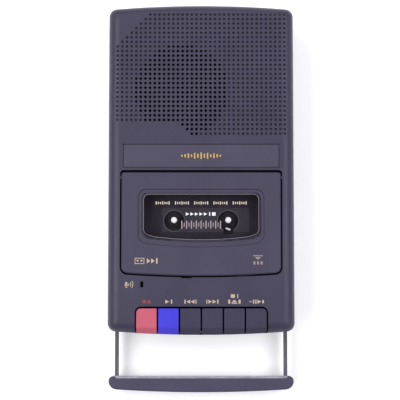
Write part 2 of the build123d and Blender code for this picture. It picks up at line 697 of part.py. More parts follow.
def build_pinch_arm():
    with BuildPart() as arm:
        with BuildSketch(Plane.XY.offset(35.6)):
            with BuildSketch(mode=Mode.PRIVATE) as ends:
                with Locations((PINCH_X, END + PINCH_U)):
                    Circle(3.5)
                with Locations((ROLLER_X, END + ROLLER_U)):
                    Circle(2.6)
            make_hull(ends.sketch.edges())
        extrude(amount=1.0)
        post(PINCH_X, PINCH_U, 3.5, (33.7, 38.5))
        post(ROLLER_X, ROLLER_U, 1.0, (36.6, 50.3))
        post(PINCH_X, PINCH_U, 1.5 + RUNNING_FIT, (33, 40), Mode.SUBTRACT)
    save(arm, "pinch_roller_arm")
    with BuildPart() as roller:
        post(ROLLER_X, ROLLER_U, ROLLER_R, (38.5, 49.5))
        post(ROLLER_X, ROLLER_U, 1.0 + RUNNING_FIT, (38, 50), Mode.SUBTRACT)
    save(roller, "pinch_roller")


def build_heads():
    with BuildPart() as plate:
        block((-26, 26), (44, 66), (33.4, 34.4))
        block((-6, 6), (46.2, 53.6), (34.4, 38))
        block((-20.8, -13.2), (46.4, 53), (34.4, 38))
    save(plate, "head_plate")
    with BuildPart() as head:
        block((-6.2, 6.2), (46.0, 53.8), (38, 50))
        fillet(head.edges().filter_by(Axis.Z).group_by(Axis.Y)[-1], 3.0)
    save(head, "record_play_head")
    with BuildPart() as erase:
        block((-21, -13), (46.2, 53.2), (38, 48.5))
        fillet(erase.edges().filter_by(Axis.Z).group_by(Axis.Y)[-1], 2.0)
    save(erase, "erase_head")


def belt_loop(reach):
    """Outline round both pulleys, standing off their rims by the given reach."""
    with BuildSketch() as loop:
        with BuildSketch(mode=Mode.PRIVATE) as rims:
            with Locations((CAPSTAN_X, END + CAPSTAN_U)):
                Circle(FLYWHEEL_R + reach)
            with Locations((MOTOR_X, END + MOTOR_U)):
                Circle(PULLEY_R + reach)
        make_hull(rims.sketch.edges())
    return loop.sketch


def build_motor():
    with BuildPart() as motor:
        post(MOTOR_X, MOTOR_U, MOTOR_R, (5, 24))
        chamfer(motor.edges(), 0.8)
        post(MOTOR_X, MOTOR_U, 3.0, (24, 24.6))
    save(motor, "drive_motor")
    with BuildPart() as bracket:
        block((-55, -17), (89, 127), (24.0, 25.2))
        post(MOTOR_X, MOTOR_U, 6.0, (23, 26), Mode.SUBTRACT)
        for x, u in ((-51, 93), (-51, 123), (-21, 123)):
            post(x, u, 2.5, (25.2, CHASSIS_Z[0]))
    save(bracket, "motor_bracket")
    with BuildPart() as pulley:
        post(MOTOR_X, MOTOR_U, PULLEY_R, (25.6, 29.6))
        post(MOTOR_X, MOTOR_U, PULLEY_R + 1.4, (25.0, 25.6))
        post(MOTOR_X, MOTOR_U, PULLEY_R + 1.4, (29.6, 30.2))
        post(MOTOR_X, MOTOR_U, 1.0, (30.2, 31.2))
    save(pulley, "motor_pulley")
    with BuildPart() as belt:
        with BuildSketch(Plane.XY.offset(26.2)):
            add(belt_loop(BELT_GAP + BELT_T))
            add(belt_loop(BELT_GAP), mode=Mode.SUBTRACT)
        extrude(amount=2.4)
    save(belt, "drive_belt")


def build_levers_and_sliders():
    with BuildPart() as stop:
        with BuildSketch(Plane.XY.offset(34.75)):
            with BuildSketch(mode=Mode.PRIVATE) as ends:
                with Locations((STOP_PIVOT[0], END + STOP_PIVOT[1])):
                    Circle(2.6)
                with Locations((STOP_FINGER[0], END + STOP_FINGER[1])):
                    Circle(1.4)
            make_hull(ends.sketch.edges())
        extrude(amount=0.5)
        block((STOP_FINGER[0] - 1.9, STOP_FINGER[0] + 1.9),
              (STOP_FINGER[1] - 1.0, STOP_FINGER[1] + 1.0), (34.75, 37.2))
        post(STOP_PIVOT[0], STOP_PIVOT[1], 1.0 + RUNNING_FIT, (34, 36), Mode.SUBTRACT)
    save(stop, "auto_stop_lever")
    with BuildPart() as latch:
        block((-14, 22.6), (40.6, 42.3), (45.5, 47.5))
        block((-11, -5), (42.3, 44.2), (45.5, 47.5))
    save(latch, "eject_latch")
    with BuildPart() as switch:
        block((-53, -44), (51, 77), (BOARD_Z[1], 14))
        block((-50.3, -46.7), (50, 78), (9.2, 12.3), Mode.SUBTRACT)
    save(switch, "record_switch")
    with BuildPart() as slider:
        block((-50, -47), (45, 80), (9.5, 12.0))
        block((-49.4, -47.6), (45, 47.4), (12.0, 20.0))
    save(slider, "record_switch_slider")


# Electrics

def build_board():
    with BuildPart() as board:
        block((-55, 55), (34, 140), BOARD_Z)
        block((55, 68.2), (84.5, 133), BOARD_Z)
        post(MOTOR_X, MOTOR_U, MOTOR_R + 1.5, (5, 8), Mode.SUBTRACT)
    save(board, "main_board")
    with BuildPart() as parts:
        top = BOARD_Z[1]
        # electrolytic capacitors, filter coils and power transistors
        for x, u, radius, height in ((0, 96, 5, 12), (0, 110, 5, 12), (14, 100, 4, 10), (14, 112, 4, 10),
                                     (28, 96, 4, 9), (28, 108, 3, 8), (-24, 52, 3, 8), (-24, 62, 3, 8)):
            post(x, u, radius, (top, top + height))
        for x, u, w, d, height in ((0, 128, 24, 8, 4), (34, 122, 10, 8, 9), (-8, 60, 10, 7, 6),
                                   (-8, 76, 14, 7, 3), (46, 100, 5, 12, 7)):
            block((x - w / 2, x + w / 2), (u - d / 2, u + d / 2), (top, top + height))
        for index in range(6):
            cross_rod((-30, -24), 70 + 3.5 * index - 2, top + 1.1, 1.1)
        # volume potentiometer below its wheel
        block((56, 68), (119, 131), (top, 17.2))
        post(WHEEL_X, WHEEL_U, 1.6, (10, 18), Mode.SUBTRACT)
    save(parts, "board_components")


def build_controls():
    with BuildPart() as wheel:
        post(WHEEL_X, WHEEL_U, WHEEL_R, WHEEL_Z)
        chamfer(wheel.edges(), 0.5)
        with BuildSketch(Plane.XY.offset(WHEEL_Z[0] - 1)):
            with Locations((WHEEL_X, END + WHEEL_U)):
                with PolarLocations(WHEEL_R + 0.35, 48):
                    Circle(0.5)
        extrude(amount=6, mode=Mode.SUBTRACT)
        post(WHEEL_X, WHEEL_U, 1.5, (12, WHEEL_Z[0]))
    save(wheel, "volume_wheel")
    with BuildPart() as jacks:
        for u in JACK_US:
            block((57, 69.0), (u - 4.5, u + 4.5), (BOARD_Z[1], 16.9))
            cross_rod((69.0, JACK_FACE_X), u, JACK_Z, 3.5)
        for u in JACK_US:
            cross_rod((JACK_FACE_X - JACK_BORE_L, JACK_FACE_X + 1), u, JACK_Z, JACK_BORE_R, Mode.SUBTRACT)
    save(jacks, "audio_jacks")
    with BuildPart() as microphone:
        post(MIC_X, MIC_U, MIC_R, (46.0, CEILING_Z))
        post(MIC_X, MIC_U, MIC_R - 0.8, (48.2, FACE_Z), Mode.SUBTRACT)
    save(microphone, "microphone_capsule")
    with BuildPart() as inlet:
        block((55, 69.4), (INLET_U - 10.8, INLET_U + 10.8), (6.5, 20.5))
        block((55, 66), (INLET_U - 10.8, INLET_U + 10.8), (FLOOR_Z, 6.5))
        block((69.4, 72.6), (INLET_U - 9.7, INLET_U + 9.7), (INLET_Z - 5.7, INLET_Z + 5.7))
        with BuildSketch(Plane.YZ.offset(58.2)):
            with BuildSketch(mode=Mode.PRIVATE) as lobes:
                with Locations((END + INLET_U - 4, INLET_Z), (END + INLET_U + 4, INLET_Z)):
                    Circle(4.25)
            make_hull(lobes.sketch.edges())
        extrude(amount=20, mode=Mode.SUBTRACT)
        for side in (-1, 1):
            cross_rod((58.2, 70.5), INLET_U + 4.3 * side, INLET_Z, 1.2)
    save(inlet, "ac_inlet")


def build_power():
    with BuildPart() as transformer:
        block((16, 50), (216, 244), (FLOOR_Z, 30))
        block((20, 46), (211, 249), (8, 26))
    save(transformer, "power_transformer")
    with BuildPart() as contacts:
        for side in (-1, 1):
            for u in (164, 192):
                plate = sorted((side * (BAY_HALF_W - 0.5), side * BAY_HALF_W))
                block(plate, (u - 10, u + 10), (6, 26))
                stud = sorted((side * (BAY_HALF_W - 1.5), side * (BAY_HALF_W - 0.5)))
                cross_rod(stud, u, 16, 3.5)
        for side, u in ((-1, 164), (1, 192)):
            start = (side * (BAY_HALF_W - 1.5), END + u, 16)
            with BuildLine() as turns:
                Helix(pitch=1.8, height=6.3, radius=3.2, center=start, direction=(-side, 0, 0))
            with BuildSketch(turns.line ^ 0):
                Circle(0.4)
            sweep(path=turns.line, is_frenet=True)
    save(contacts, "battery_contacts")


# Loudspeaker

def build_speaker():
    axis = Location((SPEAKER_X, END + SPEAKER_U, 0))
    with BuildPart() as frame:
        with BuildSketch(Plane.XZ):
            with BuildLine():
                Polyline((8, 40), (22, 40), (33, 46), (35.2, 48.4), (SPEAKER_R, 48.4), (SPEAKER_R, 49.6),
                         (34.6, 49.6), (32.4, 46.8), (21.6, 41), (8, 41), close=True)
            make_face()
        revolve(axis=Axis.Z)
        for angle in SPEAKER_EAR_ANGLES:
            with Locations(Location((0, 0, 49.0), (0, 0, angle))):
                with Locations((SPEAKER_R, 0, 0)):
                    Box(8.5, 8, 1.2)
                with Locations((SPEAKER_EAR_R, 0, 0)):
                    Cylinder(1.5, 1.2, mode=Mode.SUBTRACT)
            with Locations(Location((0, 0, 44), (0, 0, angle + 60))):
                with Locations((28, 0, 0)):
                    Box(9, 22, 7, mode=Mode.SUBTRACT)
    with BuildPart() as placed:
        add(frame.part.moved(axis))
    save(placed, "speaker_frame")
    with BuildPart() as magnet:
        post(SPEAKER_X, SPEAKER_U, 20.0, (32.5, 40.0))
        chamfer(magnet.edges(), 0.6)
    save(magnet, "speaker_magnet")
    with BuildPart() as cone:
        with BuildSketch(Plane.XZ):
            with BuildLine():
                Polyline((9, 43.6), (33.6, 49.6), (37.2, 49.6), (37.2, 50.2), (33.4, 50.2), (9, 44.3),
                         close=True)
            make_face()
        revolve(axis=Axis.Z)
        with BuildSketch(Plane.XZ):
            with BuildLine():
                ThreePointArc((0, 47.4), (5.2, 46.5), (9.4, 44.0))
                Line((9.4, 44.0), (9.0, 43.6))
                ThreePointArc((9.0, 43.6), (5.0, 46.0), (0, 46.8))
                Line((0, 46.8), (0, 47.4))
            make_face()
        revolve(axis=Axis.Z)
    with BuildPart() as cone_placed:
        add(cone.part.moved(axis))
    save(cone_placed, "speaker_cone")


build_front_case()
build_rear_case()
build_name_panel()
build_battery_door()
build_rubber_feet()
build_screws()
build_handle()
for number, key_name in enumerate(KEY_NAMES):
    build_key_cap(number, key_name)
    build_key_lever(number, key_name)
build_key_shaft()
build_key_springs()
build_cassette_door()
build_door_lens()
build_cassette_holder()
build_hinge_pins()
build_chassis()
build_well_floor()
build_reel(-1, "supply_reel")
build_reel(1, "takeup_reel")
build_flywheel()
build_pinch_arm()
build_heads()
build_motor()
build_levers_and_sliders()
build_board()
build_controls()
build_power()
build_speaker()
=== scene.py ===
"""Looks of the portable cassette recorder: materials, printed marks, light and camera."""

import json
import math

import bmesh
import bpy
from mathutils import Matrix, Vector


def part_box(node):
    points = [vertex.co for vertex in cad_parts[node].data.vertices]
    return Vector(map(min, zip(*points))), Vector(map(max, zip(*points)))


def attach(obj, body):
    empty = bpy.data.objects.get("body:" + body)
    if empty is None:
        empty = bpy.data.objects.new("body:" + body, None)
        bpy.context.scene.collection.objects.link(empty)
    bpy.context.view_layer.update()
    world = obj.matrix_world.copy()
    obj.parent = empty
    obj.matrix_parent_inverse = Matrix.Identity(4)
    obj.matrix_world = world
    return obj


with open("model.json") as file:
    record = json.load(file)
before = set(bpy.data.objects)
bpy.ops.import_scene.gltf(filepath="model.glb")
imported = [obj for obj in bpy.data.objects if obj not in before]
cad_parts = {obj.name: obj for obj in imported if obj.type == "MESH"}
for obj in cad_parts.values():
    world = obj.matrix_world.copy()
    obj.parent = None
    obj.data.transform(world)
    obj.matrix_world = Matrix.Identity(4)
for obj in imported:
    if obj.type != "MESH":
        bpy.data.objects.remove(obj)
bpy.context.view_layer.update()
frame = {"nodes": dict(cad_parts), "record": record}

MM = 0.001
KEYS = ["record", "play", "rewind", "fast_forward", "stop_eject", "pause"]

# materials: lengths in metres
EDGE_SOFTNESS = 0.0004      # radius that rounds a moulding's edges in the shading
KEY_SOFTNESS = 0.0016       # the same for the keys, which are rounder
CLOUDINESS = 0.07           # how far a plastic's colour drifts either way
SPECKLE = 0.12              # strength of its fine specks
POLISH_SPREAD = 0.06        # how far its roughness drifts either way
GRAIN_DEPTH = 0.00012       # height of its spark grain
WEAR_STARTS = 0.99          # cosine between rounded and true normal where an edge starts to pale
WEAR_FULL = 0.80            # and where it is palest
WORN_TONE = 2.2             # how much lighter a worn edge is
PAINTED_SHADE = 0.9                 # how strongly painted shade darkens recesses
PAINTED_SHADE_TONE = 0.25           # how dark that painted shade is
RECESS_REACH = 0.0015       # how near its walls stand in a recess that takes painted shade
MATT_SPECULAR = 0.12
HIGHLIGHT_LENGTH = 0.002       # painted highlight along each strap, next to the grip
TIP_RADIUS = 0.00236        # white tips of the reel drives
TIP_LENGTH = 0.0072
FIELD_X = 0.0035            # paler field of the cassette well: its centre and half its size
FIELD_BEHIND_SPINDLES = 0.0007
FIELD_HALF_WIDTH = 0.0343
FIELD_HALF_DEPTH = 0.0096
RIM_RADIUS = 0.0083         # rim of each reel opening in the well
RIM_HALF_WIDTH = 0.0004

# marks and trim: millimetres
INK = 0.04                  # thickness of printed marks
FOIL = 0.06                 # thickness of the gold ornament
EMBED = 0.02                # how far an added piece reaches into the face it stands on
SYMBOL = 3.1                # height of the key symbols
SYMBOL_RISE = 5.2           # from a key's back edge to the middle of its symbol
THIN = 0.7                  # width of a thin stroke
MARK_FROM_SLOT = 8.8        # from the microphone slot's middle to its mark
DOOR_MARK_Y = 11.6          # door marks, from the door's near edge
CASSETTE_MARK_X = 14.4      # from the door's left edge
PRESS_MARK_X = 18.1         # from the door's right edge
RULER_Y = 8.2               # window legends, from the window's far edge
AUTO_STOP_Y = 16.8
SCALE_Y = 25.1
JACK_Z = 12.0
JACK_INSET = 4.5            # from either end of the jack block to a jack's axis
JACK_MARK_Z = 19.4
VOLUME_MARK_Z = 11.2        # foot of the volume wedge
MAINS_MARK_Z = 21.2
ARROW_Y = 30                # the battery cover's arrow, from the cover's far edge
ARROW_RELIEF = 0.25         # how far it stands out
JACK_RING_PROFILE = [(1.85, 0.0), (1.85, 0.25), (2.05, 0.4), (3.0, 0.4), (3.25, 0.15), (3.25, 0.0)]
SIDE_DRAFT = math.radians(1.5)

# stage: metres, watts and radians, but the lens in millimetres
FLOOR_SIZE = 4.0
FLOOR_GLOW = 0.2
WORLD_LIGHT = 0.3
LIGHT_TARGET = (0, 0, 0.03)
SOFTBOX_X = 0.68
SOFTBOX_Y = 0.05
SOFTBOX_Z = 1.0
SOFTBOX_SIZE = (1.5, 0.75)  # the long side lies along the machine
LEFT_POWER = 14.0
RIGHT_POWER = 10.5
STRIP_PLACE = (0, 1.0, 0.8)
STRIP_SIZE = (1.2, 0.25)
STRIP_POWER = 2.5
CAMERA_X = -0.0009
CAMERA_Y_FROM_KEY_END = 0.0201
CAMERA_HEIGHT = 1.0
CAMERA_TILT = 0.0848
CAMERA_LENS = 116.0
CAMERA_SENSOR = 36


# ---------------------------------------------------------------- places taken from the frame

def middle(node):
    """Centre of a CAD node's box, in metres."""
    low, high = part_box(node)
    return (low + high) / 2


case_low, case_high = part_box("front_case")
lens_low, lens_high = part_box("door_lens")
key_end = case_low.y / MM
parting_z = case_low.z / MM     # where the front case meets the rear one
side_x = case_high.x / MM
case_top = case_high.z / MM
lens_top = lens_high.z / MM
face_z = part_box("cassette_door")[1].z / MM
panel_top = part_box("name_panel")[1].z / MM


# ---------------------------------------------------------------- materials

class Nodes:
    """A new material with its Principled shader and a few shorthands."""

    def __init__(self, name):
        self.material = bpy.data.materials.new(name)
        self.material.use_nodes = True
        self.tree = self.material.node_tree
        self.shader = self.tree.nodes["Principled BSDF"]
        self.position = self.tree.nodes.new("ShaderNodeTexCoord").outputs["Object"]

    def node(self, kind, **settings):
        made = self.tree.nodes.new(kind)
        for key, value in settings.items():
            setattr(made, key, value)
        return made

    def link(self, source, target):
        self.tree.links.new(source, target)

    def feed(self, socket, value):
        """Link a socket to an output, or give it a constant."""
        if hasattr(value, "is_output"):
            self.link(value, socket)
        else:
            socket.default_value = value

    def constant(self, name, value):
        """Set one of the shader's own sockets."""
        self.shader.inputs[name].default_value = value

    def noise(self, scale, detail, stretch=(1, 1, 1)):
        mapping = self.node("ShaderNodeMapping")
        mapping.inputs["Scale"].default_value = stretch
        self.link(self.position, mapping.inputs["Vector"])
        noise = self.node("ShaderNodeTexNoise")
        noise.inputs["Scale"].default_value = scale
        noise.inputs["Detail"].default_value = detail
        self.link(mapping.outputs["Vector"], noise.inputs["Vector"])
        return noise.outputs["Fac"]

    def ramp(self, factor, low=0, high=1):
        """Map a 0 to 1 factor, most of which lies near 0.5, onto low to high."""
        ranged = self.node("ShaderNodeMapRange")
        ranged.inputs["From Min"].default_value = 0.3
        ranged.inputs["From Max"].default_value = 0.7
        ranged.inputs["To Min"].default_value = low
        ranged.inputs["To Max"].default_value = high
        self.link(factor, ranged.inputs["Value"])
        return ranged.outputs["Result"]

    def blend(self, factor, first, second):
        """Mix two colours, each a tuple or an output."""
        mix = self.node("ShaderNodeMix", data_type="RGBA")
        for name, value in (("A", first), ("B", second)):
            self.feed(mix.inputs[name], value if hasattr(value, "is_output") else (*value, 1))
        self.link(factor, mix.inputs["Factor"])
        return mix.outputs["Result"]

    def maths(self, operation, first, second=0.0):
        made = self.node("ShaderNodeMath", operation=operation)
        for socket, value in zip(made.inputs, (first, second)):
            self.feed(socket, value)
        return made.outputs["Value"]

    def near(self, value, centre, reach):
        """1 where a value lies within reach of a centre, and 0 elsewhere."""
        apart = self.maths("ABSOLUTE", self.maths("SUBTRACT", value, centre))
        return self.maths("LESS_THAN", apart, reach)

    def axes(self):
        """The three object coordinates, in metres."""
        parts = self.node("ShaderNodeSeparateXYZ")
        self.link(self.position, parts.inputs["Vector"])
        return parts.outputs["X"], parts.outputs["Y"], parts.outputs["Z"]

    def from_spindle(self):
        """Distance from the nearer of the two spindle axes."""
        x, y, _ = self.axes()
        spindle = middle("takeup_reel")
        across = self.maths("SUBTRACT", self.maths("ABSOLUTE", x), spindle.x)
        along = self.maths("SUBTRACT", y, spindle.y)
        across_squared = self.maths("MULTIPLY", across, across)
        along_squared = self.maths("MULTIPLY", along, along)
        return self.maths("SQRT", self.maths("ADD", across_squared, along_squared))

    def colour(self, source):
        self.link(source, self.shader.inputs["Base Color"])

    def roughness(self, factor, low, high):
        """Let the roughness wander between two values."""
        self.link(self.ramp(factor, low, high), self.shader.inputs["Roughness"])

    def bump(self, height, strength, distance, around=None):
        """Bump the surface, on top of another normal where one is given."""
        bump = self.node("ShaderNodeBump")
        bump.inputs["Strength"].default_value = strength
        bump.inputs["Distance"].default_value = distance
        self.link(height, bump.inputs["Height"])
        if around:
            self.link(around, bump.inputs["Normal"])
        self.link(bump.outputs["Normal"], self.shader.inputs["Normal"])


def shade(colour, by):
    """A colour made lighter or darker."""
    return tuple(min(1.0, channel * by) for channel in colour)


def srgb(red, green, blue):
    """Linear colour of an 8-bit sRGB one."""
    def linear(value):
        value /= 255
        return value / 12.92 if value <= 0.04045 else ((value + 0.055) / 1.055) ** 2.4
    return (linear(red), linear(green), linear(blue))


def moulded(name, colour, roughness=0.5, grain=0.35, wear=0.25, specular=0.2,
            softness=EDGE_SOFTNESS, shade_in_recesses=PAINTED_SHADE):
    """Injection-moulded plastic: spark grain, faint cloudiness, handling polish, paler edges and
    painted shade in its recesses.
    """
    m = Nodes(name)
    cloud = m.ramp(m.noise(28, detail=5))
    speck = m.ramp(m.noise(2600, detail=2))
    base = m.blend(cloud, shade(colour, 1 - CLOUDINESS), shade(colour, 1 + CLOUDINESS))
    grained = m.node("ShaderNodeMix", data_type="RGBA", blend_type="OVERLAY")
    grained.inputs["Factor"].default_value = SPECKLE
    m.link(base, grained.inputs["A"])
    m.link(speck, grained.inputs["B"])
    # edges rub paler: where the rounded normal leaves the true one
    rounded = m.node("ShaderNodeBevel", samples=4)
    rounded.inputs["Radius"].default_value = softness
    true = m.node("ShaderNodeNewGeometry")
    dot = m.node("ShaderNodeVectorMath", operation="DOT_PRODUCT")
    m.link(rounded.outputs["Normal"], dot.inputs[0])
    m.link(true.outputs["Normal"], dot.inputs[1])
    edge = m.node("ShaderNodeMapRange")
    edge.inputs["From Min"].default_value = WEAR_STARTS
    edge.inputs["From Max"].default_value = WEAR_FULL
    edge.inputs["To Max"].default_value = wear
    m.link(dot.outputs["Value"], edge.inputs["Value"])
    patches = m.ramp(m.noise(160, detail=3), 0.2, 1.0)
    brightened = m.maths("MULTIPLY", edge.outputs["Result"], patches)
    worn = m.blend(brightened, grained.outputs["Result"], shade(colour, WORN_TONE))
    # painted shade darkens recesses, such as the blind dimples of the grille, as far as ambient
    # occlusion finds them closed in
    recess = m.node("ShaderNodeAmbientOcclusion", samples=4)
    recess.inputs["Distance"].default_value = RECESS_REACH
    painted_shade_amount = m.maths("MULTIPLY", m.maths("SUBTRACT", 1.0, recess.outputs["AO"]), shade_in_recesses)
    m.colour(m.blend(painted_shade_amount, worn, shade(colour, PAINTED_SHADE_TONE)))
    m.roughness(m.noise(45, detail=4), roughness - POLISH_SPREAD, roughness + POLISH_SPREAD)
    m.constant("Specular IOR Level", specular)
    m.bump(m.noise(1500, detail=3), grain, GRAIN_DEPTH, rounded.outputs["Normal"])
    return m.material


def metal(name, colour, roughness=0.3, stretch=(1, 1, 1), scratches=0.2):
    """Plated or drawn metal: fine lengthwise scratches and uneven tarnish."""
    m = Nodes(name)
    tarnish = m.ramp(m.noise(60, detail=5))
    m.colour(m.blend(tarnish, shade(colour, 0.8), colour))
    m.constant("Metallic", 1.0)
    m.roughness(m.noise(700, 3, stretch), roughness - 0.1, roughness + 0.1)
    m.bump(m.noise(900, 3, stretch), strength=scratches, distance=0.00005)
    return m.material


def rubber(name, colour):
    """Moulded rubber: matt, dusty in patches, finely pitted."""
    m = Nodes(name)
    dust = m.ramp(m.noise(90, detail=5), 0, 0.35)
    m.colour(m.blend(dust, colour, shade(colour, 2.6)))
    m.roughness(m.noise(120, detail=3), 0.67, 0.83)
    m.bump(m.noise(1300, detail=4), strength=0.3, distance=0.00015)
    return m.material


def ink(name, colour):
    """Screen-printed ink with slightly uneven cover."""
    m = Nodes(name)
    cover = m.ramp(m.noise(1400, detail=3))
    m.colour(m.blend(cover, shade(colour, 0.86), colour))
    m.roughness(m.noise(300, detail=2), 0.45, 0.55)
    m.bump(m.noise(2000, detail=2), strength=0.1, distance=0.00002)
    return m.material


def foil(name, colour):
    """Hot-stamped metallic foil."""
    m = Nodes(name)
    cover = m.ramp(m.noise(900, detail=3))
    m.colour(m.blend(cover, shade(colour, 0.8), colour))
    m.constant("Metallic", 0.6)
    m.roughness(m.noise(500, detail=2), 0.35, 0.5)
    m.bump(m.noise(1800, detail=2), strength=0.12, distance=0.00002)
    return m.material


def smoked_window(name):
    """Smoked clear acrylic: dark, glossy, with hairline scratches."""
    m = Nodes(name)
    haze = m.ramp(m.noise(50, detail=4))
    m.colour(m.blend(haze, (0.003, 0.001, 0.004), (0.006, 0.003, 0.007)))
    m.roughness(m.noise(260, 5, stretch=(1, 12, 1)), 0.05, 0.1)
    m.constant("Alpha", 0.08)
    m.constant("IOR", 1.49)
    m.bump(m.noise(240, 2, stretch=(1, 8, 1)), strength=0.1, distance=0.000002)
    return m.material


def strap_metal(name):
    """Grey lacquered strap, with a painted highlight along the grip."""
    m = Nodes(name)
    low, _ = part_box("handle_frame")
    # painted highlight: the strap is lighter where it meets the grip
    brightened = m.maths("LESS_THAN", m.axes()[1], low.y + HIGHLIGHT_LENGTH)
    tone = m.ramp(m.noise(140, detail=4))
    lacquer = m.blend(tone, srgb(80, 79, 88), srgb(90, 88, 98))
    bright = m.blend(tone, srgb(143, 141, 154), srgb(172, 170, 183))
    m.colour(m.blend(brightened, lacquer, bright))
    m.constant("Metallic", 0.5)
    drawn = (1, 0.05, 1)
    m.roughness(m.noise(700, 3, drawn), 0.42, 0.58)
    m.bump(m.noise(900, 3, drawn), strength=0.2, distance=0.00005)
    return m.material


def reel_moulding(name):
    """Two-colour reel drive: white splined tip on a black hub and flange."""
    m = Nodes(name)
    _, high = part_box("takeup_reel")
    tip = m.maths("LESS_THAN", m.from_spindle(), TIP_RADIUS)
    above = m.maths("GREATER_THAN", m.axes()[2], high.z - TIP_LENGTH)
    white = m.maths("MULTIPLY", tip, above)
    cloud = m.ramp(m.noise(300, detail=4))
    black = m.blend(cloud, (0.020, 0.016, 0.022), (0.028, 0.023, 0.031))
    pale = m.blend(cloud, (0.90, 0.89, 0.91), (0.95, 0.94, 0.96))
    m.colour(m.blend(white, black, pale))
    m.roughness(m.noise(200, detail=3), 0.3, 0.42)
    m.constant("Specular IOR Level", MATT_SPECULAR)
    m.bump(m.noise(1500, detail=3), strength=0.1, distance=0.00005)
    return m.material


def well_moulding(name):
    """Floor of the cassette well: a paler field round the spindles, with a rim at each reel opening."""
    m = Nodes(name)
    x, y, _ = m.axes()
    field_y = middle("takeup_reel").y + FIELD_BEHIND_SPINDLES
    field = m.maths("MULTIPLY", m.near(x, FIELD_X, FIELD_HALF_WIDTH),
                    m.near(y, field_y, FIELD_HALF_DEPTH))
    rim = m.near(m.from_spindle(), RIM_RADIUS, RIM_HALF_WIDTH)
    cloud = m.ramp(m.noise(120, detail=4))
    dark = m.blend(cloud, (0.028, 0.021, 0.032), (0.036, 0.028, 0.041))
    paler = m.blend(cloud, (0.044, 0.038, 0.052), (0.055, 0.048, 0.065))
    ground = m.blend(field, dark, paler)
    m.colour(m.blend(rim, ground, (0.095, 0.088, 0.108)))
    m.roughness(m.noise(200, detail=3), 0.6, 0.7)
    m.constant("Specular IOR Level", MATT_SPECULAR)
    m.bump(m.noise(1600, detail=3), strength=0.08, distance=0.0001)
    return m.material


def laminate(name):
    """Brown phenolic board with fibre and solder-resist mottling."""
    m = Nodes(name)
    fibre = m.ramp(m.noise(300, 4, stretch=(1, 6, 1)))
    m.colour(m.blend(fibre, srgb(120, 82, 40), srgb(150, 106, 58)))
    m.roughness(m.noise(200, detail=3), 0.4, 0.6)
    m.bump(m.noise(800, detail=3), strength=0.2, distance=0.0001)
    return m.material


def pressed_paper(name):
    """Black speaker paper with felted fibres."""
    m = Nodes(name)
    felt = m.ramp(m.noise(900, detail=6))
    m.colour(m.blend(felt, (0.012, 0.012, 0.013), (0.035, 0.034, 0.034)))
    m.roughness(m.noise(400, detail=3), 0.85, 0.95)
    m.bump(m.noise(1500, detail=5), strength=0.6, distance=0.0002)
    return m.material


MATERIALS = {
    # painted shade in recesses: less on the case, much less on the door
    "case_plastic": moulded("case_plastic_spark_grain", srgb(55, 52, 71), 0.40, 0.45,
                            specular=0.27, shade_in_recesses=0.65),
    "door_plastic": moulded("door_plastic_satin", srgb(63, 59, 77), 0.46, 0.25, shade_in_recesses=0.2),
    "panel_plastic": moulded("panel_plastic_satin", srgb(67, 64, 82), 0.42, 0.15),
    "red_key_plastic": moulded("red_key_plastic_satin", srgb(177, 84, 102), 0.4, 0.1,
                               wear=0.1, softness=KEY_SOFTNESS),
    "blue_key_plastic": moulded("blue_key_plastic_satin", srgb(61, 55, 193), 0.4, 0.1,
                                wear=0.08, softness=KEY_SOFTNESS),
    "grey_key_plastic": moulded("grey_key_plastic_satin", srgb(60, 57, 75), 0.42, 0.12,
                                specular=0.06, softness=KEY_SOFTNESS),
    "grip_plastic": moulded("grip_plastic_satin", srgb(67, 64, 85), 0.42, 0.25),
    "white_plastic": moulded("white_acetal", srgb(230, 229, 226), 0.35, 0.05, wear=0.0),
    "black_plastic": moulded("black_moulding", srgb(30, 29, 33), 0.45, 0.25),
    "smoked_window": smoked_window("smoked_acrylic"),
    "strap_steel": strap_metal("strap_steel_lacquered"),
    "plated_steel": metal("zinc_plated_steel", srgb(150, 148, 144), 0.38),
    "head_metal": metal("polished_head_casing", srgb(205, 204, 202), 0.2, (1, 1, 8), 0.08),
    "spring_steel": metal("spring_wire", srgb(140, 138, 134), 0.3),
    "brass": metal("sintered_bronze", srgb(190, 150, 84), 0.38),
    "magnet_ferrite": metal("grey_ferrite", srgb(58, 58, 62), 0.6),
    "belt_rubber": rubber("belt_rubber", (0.012, 0.012, 0.012)),
    "foot_rubber": rubber("foot_rubber", (0.018, 0.018, 0.019)),
    "board_laminate": laminate("phenolic_board"),
    "paper_cone": pressed_paper("speaker_paper"),
}
NODE_MATERIALS = {
    "supply_reel": reel_moulding("supply_reel_two_colour"),
    "takeup_reel": reel_moulding("takeup_reel_two_colour"),
    "well_floor": well_moulding("well_floor_moulding"),
    "auto_stop_lever": MATERIALS["black_plastic"],
    "microphone_capsule": pressed_paper("microphone_felt"),
}
BLACKENED = metal("blackened_steel", srgb(52, 52, 54), 0.6, scratches=0.04)
BLACKENED_NODES = ["chassis_plate", "head_plate", "key_shaft", "cassette_holder"]
for blackened_node in BLACKENED_NODES + [f"{key}_key_lever" for key in KEYS]:
    NODE_MATERIALS[blackened_node] = BLACKENED
CREAM_INK = ink("cream_ink", srgb(176, 158, 138))
FADED_INK = ink("faded_cream_ink", srgb(138, 122, 116))
WHITE_INK = ink("white_ink", srgb(222, 220, 226))
RED_INK = ink("red_ink", srgb(128, 42, 58))
LEGEND_INK = ink("legend_ink", srgb(196, 184, 168))
TICK_INK = ink("tick_ink", srgb(150, 136, 146))
GOLD_FOIL = foil("gold_foil", srgb(206, 170, 92))
SILVER_FOIL = foil("silver_foil", srgb(140, 130, 142))


